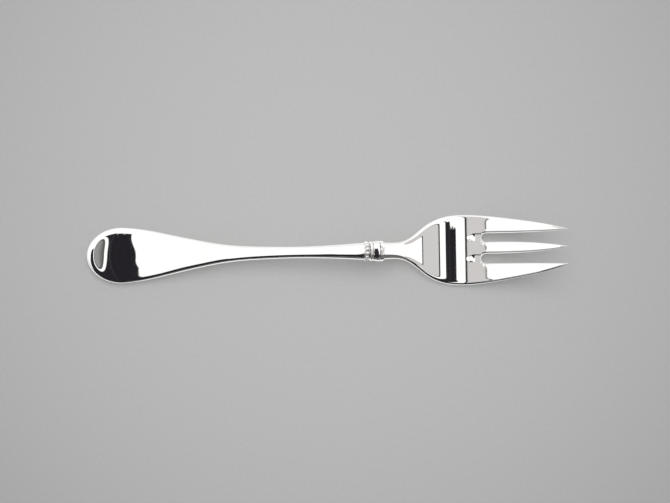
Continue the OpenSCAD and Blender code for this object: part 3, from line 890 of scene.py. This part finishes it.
@dataclass
class Head:
    """Forged head: tang, neck, bowl and three tines.

    The outlines and thinnings are tables of places, as shares of the neck's or the tines'
    length, and shares of the way from one size to the next. The drop runs from the shoulder to
    the dip, and the lift from the dip to the tips. A scoop is the shallow hollow before a gap.
    """

    neck_length: float = Layout.neck_length
    tine_length: float = Layout.tine_length
    dip_length: float = 21.0
    neck_width: float = 5.2
    neck_thickness: float = 4.4
    width: float = 21.88
    cut_extra: float = Layout.cut_extra
    thickness: float = 2.0
    tip_thickness: float = 0.9
    tip_width: float = 0.24
    tip_rise: float = 10.4
    gap_length: float = 25.4
    plain_gap: float = 2.72
    cutting_gap: float = 3.08
    middle_width: float = 3.66
    middle_y: float = 0.42
    tip_pitch: float = 5.45
    scoop: float = 4.5
    scoop_ramp: float = 2.6
    scoop_half: float = 1.45
    scoop_wall: float = 0.5
    scoop_drop: float = 0.22
    scoop_start: float = 0.5
    scoop_tilt: float = 0.85
    scoop_power: float = 3.0
    root_edge: float = 0.35
    dip_z: float = 0.88
    tang_length: float = 40.0
    tang_width: float = 1.6
    tang_taper: float = 1.2
    corner_share: float = 0.7
    edge_share: float = 1.6
    edge_power: float = 2.6
    widen_power: float = 2.7
    neck_outline: Shares = (
        (0, 0), (0.143, -0.01), (0.265, 0.045), (0.388, 0.248), (0.51, 0.542),
        (0.633, 0.773), (0.796, 0.941), (1, 1),
    )
    tine_outline: Shares = ((0.152, 0.04), (0.333, 0.17), (0.576, 0.405), (0.788, 0.65), (1, 1))
    drop: Shares = (
        (0, 0), (0.12, 0.134), (0.26, 0.313), (0.4, 0.512), (0.52, 0.677), (0.62, 0.797),
        (0.71, 0.886), (0.8, 0.951), (0.9, 0.992), (1, 1),
    )
    lift: Shares = (
        (0.06, 0.009), (0.125, 0.033), (0.2, 0.08), (0.3, 0.167), (0.42, 0.296), (0.6, 0.505),
        (0.8, 0.749), (1, 1),
    )
    neck_thinning: Shares = (
        (0, 0), (0.143, 0.27), (0.265, 0.5), (0.388, 0.68), (0.51, 0.81), (0.633, 0.9),
        (0.796, 0.975), (1, 1),
    )
    tine_thinning: Shares = ((0.333, 0.08), (0.576, 0.3), (0.788, 0.6), (1, 1))
    bowl_rows: int = 150
    bend_from: float = 0.82
    bend_share: float = 0.16
    corner_rows: int = 14
    tine_rows: int = 150
    tine_columns: int = 32
    gap_columns: int = 24
    tang_rows: int = 24

    def __post_init__(self) -> None:
        """Works out the places of the gaps and fits the curves."""
        self.broad_x = Layout.shoulder_x + self.neck_length
        self.dip_x = Layout.shoulder_x + self.dip_length
        self.tip_x = self.broad_x + self.tine_length
        self.gap_x = self.tip_x - self.gap_length
        self.gap_radius = {Gap.PLAIN: self.plain_gap / 2, Gap.CUTTING: self.cutting_gap / 2}
        self.root_x = self.gap_x - self.corner_share * min(self.gap_radius.values())
        half = self.middle_width / 2
        self.gap_y: dict[Gap, float] = {}
        self.tip_y: dict[Gap, float] = {}
        for gap, way in ((Gap.PLAIN, 1), (Gap.CUTTING, -1)):
            self.gap_y[gap] = self.middle_y + way * half + way * self.gap_radius[gap]
            self.tip_y[gap] = self.middle_y + way * self.tip_pitch
        half, tip = self.width / 2, self.tip_width / 2
        self.plain_edge = self.edge_curve(half - self.cut_extra / 2, self.tip_y[Gap.PLAIN] + tip)
        self.cut_edge = self.edge_curve(half + self.cut_extra / 2, tip - self.tip_y[Gap.CUTTING])
        shoulder, fall = Layout.shoulder_x, Layout.shoulder_z - self.dip_z
        self.height = Curve(
            [(shoulder + s * self.dip_length, Layout.shoulder_z - q * fall) for s, q in self.drop]
            + [(mix(self.dip_x, self.tip_x, s), self.dip_z + q * self.tip_rise) for s, q in self.lift]
        )
        neck, bowl, tips = self.neck_thickness / 2, self.thickness / 2, self.tip_thickness / 2
        self.half_depth = Curve(
            self.over_neck(self.neck_thinning, neck, bowl) + self.over_tines(self.tine_thinning, bowl, tips)
        )

    def over_neck(self, shares: Shares, start: float, end: float) -> list[Pair]:
        """Points of a curve from start at the shoulder to end at the bowl's broadest place."""
        return [(Layout.shoulder_x + s * self.neck_length, mix(start, end, q)) for s, q in shares]

    def over_tines(self, shares: Shares, start: float, end: float) -> list[Pair]:
        """Points of a curve from start at the bowl's broadest place to end at the tips."""
        return [(self.broad_x + s * self.tine_length, mix(start, end, q)) for s, q in shares]

    def edge_curve(self, half: float, tip: float) -> Curve:
        """Outer edge from the shoulder to a tip, as a distance from the middle: half at its broadest."""
        neck = self.over_neck(self.neck_outline, self.neck_width / 2, half)
        return Curve(neck + self.over_tines(self.tine_outline, half, tip))

    def swell(self, distance: np.ndarray, reach: np.ndarray) -> np.ndarray:
        """Height of the rounded edge at a distance in from it, as a share of the thickness."""
        near = 1 - np.clip(distance, 0, None) / reach
        return np.sqrt(1 - np.clip(near, 0, 1) ** self.edge_power)

    def widening(self, x: np.ndarray) -> np.ndarray:
        """Share of the way to the gap's open end."""
        return np.clip((x - self.gap_x) / self.gap_length, 0, None) ** self.widen_power

    def gap_middle(self, gap: Gap, x: np.ndarray) -> np.ndarray:
        """Distance of the gap's middle from the fork's middle."""
        return mix(self.gap_y[gap], (self.tip_y[gap] + self.middle_y) / 2, self.widening(x))

    def gap_half(self, gap: Gap, x: np.ndarray) -> np.ndarray:
        """Half width of the gap."""
        return mix(self.gap_radius[gap], (self.tip_pitch - self.tip_width) / 2, self.widening(x))

    def gap_reach(self, gap: Gap, x: np.ndarray) -> np.ndarray:
        """Half width of the gap, narrowing round its closed end."""
        back = np.clip(self.gap_x - x, 0, None)
        return np.sqrt(np.clip(self.gap_half(gap, x) ** 2 - back**2, 0, None))

    def hollow(self, gap: Gap, x: np.ndarray, y: np.ndarray) -> np.ndarray:
        """Presses the bowl down in the scoop before a gap's closed end.

        Args:
            gap: The gap.
            x: Places along the fork.
            y: Places across it.

        Returns:
            How far the bowl is pressed down.
        """
        back = self.gap_x - self.gap_radius[gap] - x
        q = np.clip((self.scoop - back) / self.scoop_ramp, 0, 1)
        across = (y - self.gap_middle(gap, x)) / self.scoop_half
        ramp = mix(q**self.scoop_power, q, self.scoop_start)
        depth = self.scoop_drop * ramp * (1 + self.scoop_tilt * across)
        side = self.scoop_half * (np.sqrt(1 - (1 - q) ** self.scoop_power) - np.abs(across))
        return depth * ease(side / self.scoop_wall) * ease(1 + back / self.gap_radius[gap])

    def gap_swell(self, gap: Gap, x: np.ndarray, y: np.ndarray, reach: np.ndarray) -> np.ndarray:
        """Rounds the edge along a gap, sharper round its closed end.

        Args:
            gap: The gap.
            x: Places along the fork.
            y: Places across it.
            reach: How far in the rounding reaches.

        Returns:
            The height, as a share of the thickness.
        """
        back = np.clip(self.gap_x - x, 0, None)
        away = np.hypot(back, y - self.gap_middle(gap, x))
        ahead = back / np.maximum(away, self.tip_width)
        return self.swell(away - self.gap_half(gap, x), mix(reach, self.root_edge, ahead**2))

    def edge_distance(self, edge: Curve, x: np.ndarray, y: np.ndarray) -> np.ndarray:
        """Distance in from an outer edge."""
        return (edge.at(x) - y) * np.cos(np.arctan(edge.slope(x)))

    def half_at(self, x: np.ndarray, y: np.ndarray) -> np.ndarray:
        """Works out the head's half thickness, rounded at every edge.

        Args:
            x: Places along the fork.
            y: Places across it.

        Returns:
            Half of the thickness.
        """
        t = self.half_depth.at(x)
        reach = self.edge_share * t
        shape = self.swell(self.edge_distance(self.plain_edge, x, y), reach)
        shape = shape * self.swell(self.edge_distance(self.cut_edge, x, -y), reach)
        for gap in Gap:
            shape = shape * self.gap_swell(gap, x, y, reach)
        return t * shape * self.swell(self.tip_x - x, reach)

    def surface(self, x: np.ndarray, y: np.ndarray, side: Side, shut: np.ndarray) -> np.ndarray:
        """Points of the upper or lower skin.

        Args:
            x: Places along the fork.
            y: Places across it.
            side: Upper or lower skin.
            shut: Where the two skins meet.

        Returns:
            The points.
        """
        h = np.where(shut, 0.0, side.value * self.half_at(x, y))
        z = self.height.at(x) - sum(self.hollow(gap, x, y) for gap in Gap)
        points = leaning(x, y, z, h, np.vectorize(Layout.lean)(x))
        if side is Side.LOWER:
            points[..., 2] = np.maximum(points[..., 2], 0)
        return points

    def spread(self, low: float, high: float, count: int) -> np.ndarray:
        """Places across a row, closer together at its edges."""
        return mix(low, high, (1 - np.cos(np.linspace(0, math.pi, count))) / 2)

    def gap_arc(self, gap: Gap) -> tuple[np.ndarray, np.ndarray]:
        """Follows a gap's closed end.

        Args:
            gap: The gap.

        Returns:
            The places across it and how far it bulges back there.
        """
        r = self.gap_radius[gap]
        swing = math.acos((self.gap_x - self.root_x) / r)
        turn = np.linspace(-swing, swing, self.gap_columns + 1)
        return self.gap_y[gap] + r * np.sin(turn), r * np.cos(turn) - self.gap_x + self.root_x

    def bowl(self, side: Side) -> np.ndarray:
        """Builds the neck and bowl, from the shoulder to the tines' roots.

        Args:
            side: Upper or lower skin.

        Returns:
            The rows of points.
        """
        cut_y, cut_bulge = self.gap_arc(Gap.CUTTING)
        plain_y, plain_bulge = self.gap_arc(Gap.PLAIN)
        n, g = self.tine_columns, self.gap_columns
        none = np.zeros(n + 1)
        bulge = np.concatenate([none, cut_bulge[1:-1], none, plain_bulge[1:-1], none])
        on_gap = np.zeros(len(bulge), dtype=bool)
        on_gap[n : n + g + 1] = True
        on_gap[2 * n + g : 2 * n + 2 * g + 1] = True
        rows = []
        for i, q in enumerate(np.sin(np.linspace(0, math.pi / 2, self.bowl_rows + 1))):
            x = mix(Layout.shoulder_x, self.root_x, q)
            low, high = -float(self.cut_edge.at(x)), float(self.plain_edge.at(x))
            first = self.spread(low, cut_y[0], n + 1)
            middle = self.spread(cut_y[-1], plain_y[0], n + 1)
            last = self.spread(plain_y[-1], high, n + 1)
            y = np.concatenate([first, cut_y[1:-1], middle, plain_y[1:-1], last])
            fit = ease((x - Layout.shoulder_x - self.neck_length / 4) / (self.neck_length / 2))
            y = mix(self.spread(low, high, len(y)), y, fit)
            bend = ease((q - self.bend_from) / self.bend_share)
            shut = on_gap & (i == self.bowl_rows)
            shut[0] = shut[-1] = True
            rows.append(self.surface(x - bend * bulge, y, side, shut))
        return np.array(rows)

    def tang(self, side: Side, columns: int) -> np.ndarray:
        """Builds the tang, from its end to the shoulder.

        Args:
            side: Upper or lower skin.
            columns: Points in a row.

        Returns:
            The rows of points.
        """
        end = Layout.handle_length - self.tang_length
        r = self.tang_width / 2
        climb = Handle().curves["height"]
        places = [end] + np.linspace(end + self.tang_taper, Layout.handle_length, self.tang_rows).tolist()
        stops = [(x, float(climb.at(x)), Layout.lean(x), r, r) for x in places]
        stops[0] = stops[0][:3] + (r / 2, 0.0)
        stops.append((Layout.shoulder_x, Layout.shoulder_z, Layout.tilt, r, r))
        turn = np.linspace(0, math.pi, columns)
        rows = []
        for x, z, lean, half_width, half_depth in stops:
            h = side.value * half_depth * np.sin(turn)
            h[0] = h[-1] = 0.0
            rows.append(leaning(x, -half_width * np.cos(turn), z, h, lean))
        return np.array(rows)

    def tine(self, tine: Tine, side: Side) -> np.ndarray:
        """Builds a tine, from its root to its tip.

        Args:
            tine: The tine.
            side: Upper or lower skin.

        Returns:
            The rows of points.
        """
        before, after = tine.value
        corner = (self.gap_x - self.root_x) / (self.tip_x - self.root_x)
        start = corner * np.linspace(0, 1, self.corner_rows + 1)
        rest = corner + (1 - corner) * np.sin(np.linspace(0, math.pi / 2, self.tine_rows))
        rows = []
        for q in np.concatenate([start, rest[1:]]):
            x = mix(self.root_x, self.tip_x, q)
            low, high = -self.cut_edge.at(x), self.plain_edge.at(x)
            if before:
                low = self.gap_middle(before, x) + self.gap_reach(before, x)
            if after:
                high = self.gap_middle(after, x) - self.gap_reach(after, x)
            y = self.spread(float(low), float(high), self.tine_columns + 1)
            shut = np.full(len(y), q >= 1)
            shut[0] = shut[-1] = True
            rows.append(self.surface(np.full(len(y), x), y, side, shut))
        return np.array(rows)

    def build(self, finish: Material) -> None:
        """Builds and dresses the head.

        Args:
            finish: The material.
        """
        skin = Skin()
        for side in Side:
            bowl = self.bowl(side)
            skin.sheet(np.concatenate([self.tang(side, bowl.shape[1]), bowl]))
            for tine in Tine:
                skin.sheet(self.tine(tine, side))
        place_piece(skin.mesh("polished_head"), "fork_head", finish)


@dataclass(frozen=True)
class Reflection:
    """Something plain and far off that shows in the fork's polish.

    Its place is on a flat ceiling one unit above the fork: u runs with X and v with Y. A card
    with a taper narrows as v grows, flares below 0 and has a waist further down.
    """

    u: Pair
    v: Pair
    level: float
    tint: Triple = (1.0, 1.0, 1.0)
    soft: float = 0.01
    taper: float = 0.0
    flare: float = 0.0
    flare_edge: Pair = (-0.2, 0.0)
    waist: float = 0.85
    waist_edge: Pair = (-0.8, -0.3)

    def inside(self, n: Nodes, u: Socket, v: Socket) -> Socket:
        """Tells where the card is.

        Args:
            n: The world's nodes.
            u: Place along u.
            v: Place along v.

        Returns:
            1 on the card and 0 off it, with its soft edges between.
        """
        if self.taper:
            width = n.minus(1.0, n.times(n.maths("MAXIMUM", v, 0.0), self.taper))
            width = n.times(width, n.remap(v, self.flare_edge, (1.0 + self.flare, 1.0)))
            width = n.times(width, n.remap(v, self.waist_edge, (self.waist, 1.0)))
            u = n.over(u, width)
        share = 1.0
        for value, limits in ((u, self.u), (v, self.v)):
            for limit, levels in zip(limits, ((0.0, 1.0), (1.0, 0.0))):
                step = n.remap(value, (limit - self.soft, limit + self.soft), levels)
                share = n.times(share, step)
        return share


@dataclass(frozen=True)
class NearCards:
    """Four cards low over the fork, which show in its polish alone.

    The near card hangs over the handle's end: an oval of dim light with a dark outline and a
    bright rim, on streaky dark. White covers bound the dark beside the stem and over the bowl.
    The cards' limits and the step are X and Y in the fork's own coordinates. The pattern's other
    places count from the oval's centre, its sizes round the oval are shares of the oval, and an
    edge is a pair: where a change begins and ends.
    """

    height: float = 60.0
    centre: Pair = (-19.8, 5.3)
    near: tuple[Pair, Pair] = ((-400.0, 4.5), (-400.0, 200.0))
    stem: tuple[Pair, Pair] = ((28.0, 80.0), (16.0, 140.0))
    side: tuple[Pair, Pair] = ((22.0, 46.0), (-40.0, -12.0))
    bowl: tuple[Pair, Pair] = ((103.0, 116.5), (4.0, 40.0))
    oval: Pair = (15.4, 31.4)
    oval_power: float = 2.0
    oval_lean: float = -0.04
    oval_bend: float = 0.0032
    oval_edge: Pair = (0.76, 0.86)
    outline_edge: Pair = (0.97, 1.03)
    rim_edge: Pair = (1.26, 1.3)
    top_edge: Pair = (39.2, 40.2)
    left_lean: float = 0.9
    left_edge: Pair = (-49.0, -45.0)
    corner_lean: float = 0.52
    corner_edge: Pair = (19.0, 22.0)
    corner_top_edge: Pair = (10.0, 12.0)
    dim: float = 0.31
    dim_share: float = 0.5
    dim_edge: Pair = (0.0, 0.85)
    outline: float = 0.1
    streak_scale: float = 0.35
    step_edge: Pair = (113.0, 113.8)
    step_y: Pair = (7.0, 9.6)
    rag: float = 2.4
    rag_noise: Pair = (1.1, 1.0)
    rag_edge: Pair = (-0.15, 0.15)

    def places(self, n: Nodes) -> tuple[Socket, Socket]:
        """Returns the places along and across a card from the oval's centre, in millimetres."""
        x, y, _ = n.split(n.place())
        return n.over(x, MM), n.over(y, MM)

    def pattern(self, n: Nodes) -> Socket:
        """Paints the near card.

        Args:
            n: The card's nodes.

        Returns:
            Its light.
        """
        x, y = self.places(n)
        bend = n.times(y, n.plus(self.oval_lean, n.times(y, self.oval_bend)))
        across, along = n.over(n.plus(x, bend), self.oval[0]), n.over(y, self.oval[1])
        powers = [n.maths("POWER", n.maths("ABSOLUTE", part), self.oval_power) for part in (across, along)]
        size = n.maths("POWER", n.plus(*powers), 1.0 / self.oval_power)
        left = n.minus(x, n.times(y, self.left_lean))
        right = n.plus(x, n.times(y, self.corner_lean))
        corner = n.times(n.remap(y, self.corner_top_edge), n.remap(right, self.corner_edge, (1.0, 0.0)))
        dark = n.times(n.remap(left, self.left_edge), n.minus(1.0, corner))
        dark = n.times(dark, n.remap(size, self.rim_edge))
        dark = n.times(dark, n.remap(y, self.top_edge, (1.0, 0.0)))
        colour = n.blend(dark, paint(WHITE), n.streaky(x, self.streak_scale, DARK, VIOLET))
        colour = n.blend(n.remap(size, self.outline_edge, (1.0, 0.0)), colour, paint(self.outline))
        shaded = n.remap(across, self.dim_edge)
        dim = n.blend(shaded, paint(self.dim), paint(self.dim_share * self.dim))
        return n.light(n.blend(n.remap(size, self.oval_edge, (1.0, 0.0)), colour, dim))

    def ragged(self, n: Nodes) -> Socket:
        """Paints the bowl's cover: white, and clear below its ragged edge.

        Args:
            n: The card's nodes.

        Returns:
            Its light.
        """
        x, y = self.places(n)
        step = n.remap(x, tuple(limit - self.centre[0] for limit in self.step_edge), self.step_y)
        rag = n.minus(n.line_noise(x, *self.rag_noise), 0.5)
        edge = n.plus(step, n.times(rag, self.rag))
        over = n.remap(n.minus(n.plus(y, self.centre[1]), edge), self.rag_edge)
        clear = n.add("BsdfTransparent").outputs[0]
        return n.add("MixShader", {0: over, 1: clear, 2: n.light(paint(WHITE))}).outputs[0]

    def hang(self, name: str, limits: tuple[Pair, Pair], surface: Callable[[Nodes], Socket]) -> None:
        """Hangs a card over the fork.

        Args:
            name: The card's name.
            limits: Its limits along and across the fork.
            surface: Makes its surface.
        """
        x, y = (
            tuple((limit - middle) * MM for limit in pair) for pair, middle in zip(limits, self.centre)
        )
        mesh = flat_mesh(name, x, y, 0.0)
        card = add_object(name, mesh)
        card.location = fork_to_row(np.array([*self.centre, self.height])).tolist()
        for kind in HIDDEN_FROM:
            setattr(card, f"visible_{kind}", False)
        made, n = new_material(f"{name}_light")
        n.add("OutputMaterial", {"Surface": surface(n)})
        mesh.materials.append(made)

    def build(self) -> None:
        """Builds the four cards."""
        self.hang("near_card", self.near, self.pattern)
        self.hang("stem_cover", self.stem, lambda n: n.light(paint(WHITE)))
        self.hang("side_cover", self.side, lambda n: n.light(paint(WHITE)))
        self.hang("bowl_cover", self.bowl, self.ragged)


@dataclass
class Studio:
    """Pale floor, soft white surroundings with a few plain cards, a soft lamp and the camera.

    Sizes are in metres, in the row frame.
    """

    ambient: float = 0.7
    backdrop: float = 0.5
    horizon: float = 0.01
    streak_scale: float = 22.0
    floor_half: float = 3.0
    floor_z: float = -0.00003
    floor_level: float = 0.49
    floor_grain: Pair = (900.0, 4.0)
    grain_edge: Pair = (0.3, 0.7)
    grain_levels: Pair = (0.985, 1.015)
    floor_rough: float = 0.9
    floor_gloss: float = 0.1
    # Painted light on the floor: its colour darkens away from floor_brightest, over floor_reach, down to
    # floor_darkest at least
    floor_reach: float = 0.292
    floor_brightest: float = 0.0125
    floor_darkest: float = 0.76
    # Painted reflection: the floor glows in the polish, pale round the fork and dark far out on the near side
    floor_in_polish: Pair = (0.09, 0.95)
    polish_edge: Pair = (-0.019, -0.015)
    lamp_power: float = 9.6
    lamp_size: float = 1.1
    lamp_distance: float = 1.5
    lamp_height: float = math.radians(66)
    sensor: float = 36.0
    camera_distance: float = 3.0
    camera_end: float = 20.0
    view_width: float = 0.2090
    aim: Triple = (0.0025, 0.00025, 0.006)
    roll: float = math.radians(-1.0)
    cards: tuple[Reflection, ...] = (
        # Two pale panels, each on its dark frame
        Reflection((0.272, 0.8), (-60.0, 2.0), FRAME, soft=0.005),
        Reflection((0.312, 0.772), (-60.0, 2.0), PANEL, ROSE),
        Reflection((-0.589, -0.272), (-60.0, 2.0), FRAME, soft=0.005),
        Reflection((-0.574, -0.312), (-60.0, 2.0), PANEL, ROSE),
        # Dim far side, beyond the tips
        Reflection((1.25, 60.0), (-1.5, 1.5), 0.2),
        # Dark on the near side, softer towards the tips, with a pale gap behind the handle
        Reflection((-30.0, -0.1), (-60.0, -1.0), DARK, VIOLET),
        Reflection((-0.1, 0.3), (-60.0, -0.78), DARK, VIOLET),
        Reflection((0.3, 30.0), (-60.0, -1.2), 0.13, soft=0.15),
        Reflection((-30.0, -0.62), (-3.0, -0.9), 0.4),
        # Dark strip overhead, and the two steps of white that cut into its upper end
        Reflection((-0.106, 0.106), (-60.0, 0.62), DARK, VIOLET, 0.004, 0.35, 0.36),
        Reflection((-0.03, 0.0), (0.5, 1.0), WHITE),
        Reflection((0.0, 0.2), (0.56, 1.0), WHITE),
    )

    def surroundings(self) -> None:
        """Builds the world: white with the cards in the fork's polish, and plain for all else."""
        world = bpy.data.worlds.new("studio_surroundings")
        bpy.context.scene.world = world
        world.use_nodes = True
        n = Nodes(world.node_tree)
        x, y, z = n.split(n.add("TexCoord").outputs["Generated"])
        height = n.maths("MAXIMUM", z, self.horizon)
        u, v = n.over(x, height), n.over(y, height)
        colour = paint(WHITE)
        for card in self.cards:
            tone = paint(card.level, card.tint)
            if card.flare:
                tone = n.streaky(u, self.streak_scale, card.level, card.tint)
            colour = n.blend(card.inside(n, u, v), colour, tone)
        path = n.add("LightPath").outputs
        plain = n.blend(path["Is Camera Ray"], paint(self.ambient), paint(self.backdrop))
        back = n.add("Background", {"Color": n.blend(path["Is Glossy Ray"], plain, colour)})
        n.add("OutputWorld", {"Surface": back.outputs[0]})

    def floor(self) -> None:
        """Builds the floor, with a faint grain, painted light that darkens it outwards, and a pale glow in
        the polish: a painted reflection.
        """
        limits = (-self.floor_half, self.floor_half)
        mesh = flat_mesh("floor", limits, limits, self.floor_z)
        made, n = new_material("floor_paper")
        place = n.place()
        x, y, _ = n.split(place)
        # Painted light: the floor's colour darkens outwards from its brightest place
        up = n.minus(y, self.floor_brightest)
        away = n.plus(n.times(x, x), n.times(up, up))
        fall = n.minus(1.0, n.over(away, self.floor_reach**2))
        levels = tuple(self.floor_level * part for part in self.grain_levels)
        level = n.remap(n.noise(place, *self.floor_grain), self.grain_edge, levels)
        level = n.times(level, n.maths("MAXIMUM", fall, self.floor_darkest))
        values = {"Base Color": level, "Roughness": self.floor_rough, "Specular IOR Level": self.floor_gloss}
        paper = n.add("BsdfPrincipled", values).outputs[0]
        # Painted reflection: glossy rays see the floor glow, pale round the fork and dark far out on the near
        # side
        pale = n.light(n.remap(y, self.polish_edge, self.floor_in_polish))
        glossy = n.add("LightPath").outputs["Is Glossy Ray"]
        both = n.add("MixShader", {0: glossy, 1: paper, 2: pale})
        n.add("OutputMaterial", {"Surface": both.outputs[0]})
        mesh.materials.append(made)
        add_object("floor", mesh)

    def lamp(self) -> None:
        """Builds the soft lamp behind the fork, which throws its shadow towards the viewer."""
        data = bpy.data.lights.new("soft_lamp", "AREA")
        data.energy = self.lamp_power
        data.size = self.lamp_size
        lamp = add_object("soft_lamp", data)
        rise, back = math.sin(self.lamp_height), math.cos(self.lamp_height)
        lamp.location = (0.0, back * self.lamp_distance, rise * self.lamp_distance)
        lamp.rotation_euler = (self.lamp_height - math.pi / 2, 0.0, 0.0)
        lamp.visible_glossy = False

    def camera(self) -> None:
        """Builds the camera: straight above, turned by a degree as in the photograph."""
        data = bpy.data.cameras.new("overhead_camera")
        data.sensor_width = self.sensor
        data.lens = self.sensor * self.camera_distance / self.view_width
        data.clip_end = self.camera_end
        camera = add_object("overhead_camera", data)
        camera.location = (self.aim[0], self.aim[1], self.aim[2] + self.camera_distance)
        camera.rotation_euler = (0.0, 0.0, self.roll)
        bpy.context.scene.camera = camera

    def build(self) -> None:
        """Builds the studio."""
        self.surroundings()
        self.floor()
        NearCards().build()
        self.lamp()
        self.camera()
        bpy.context.scene.view_settings.view_transform = "Standard"


def dress_filler() -> None:
    """Gives the filler inside the handle its cement."""
    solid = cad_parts["handle_filler"]
    cement = FillerCement("filler_cement").material()
    solid.data.materials.clear()
    solid.data.materials.append(cement)
    log.info("handle_filler: carried over with %s", cement.name)


def main() -> None:
    """Builds the pieces in order, then the studio."""
    logging.basicConfig(level=logging.INFO, format="%(message)s")
    plate = SilverPlate("silver_plate").material()
    collar_plate = SilverPlate("silver_plate_collar", gloss=(0.03, 0.08)).material()
    Handle().build(plate)
    Collar().build(collar_plate)
    Head().build(plate)
    dress_filler()
    Studio().build()


if __name__ == "__main__":
    main()
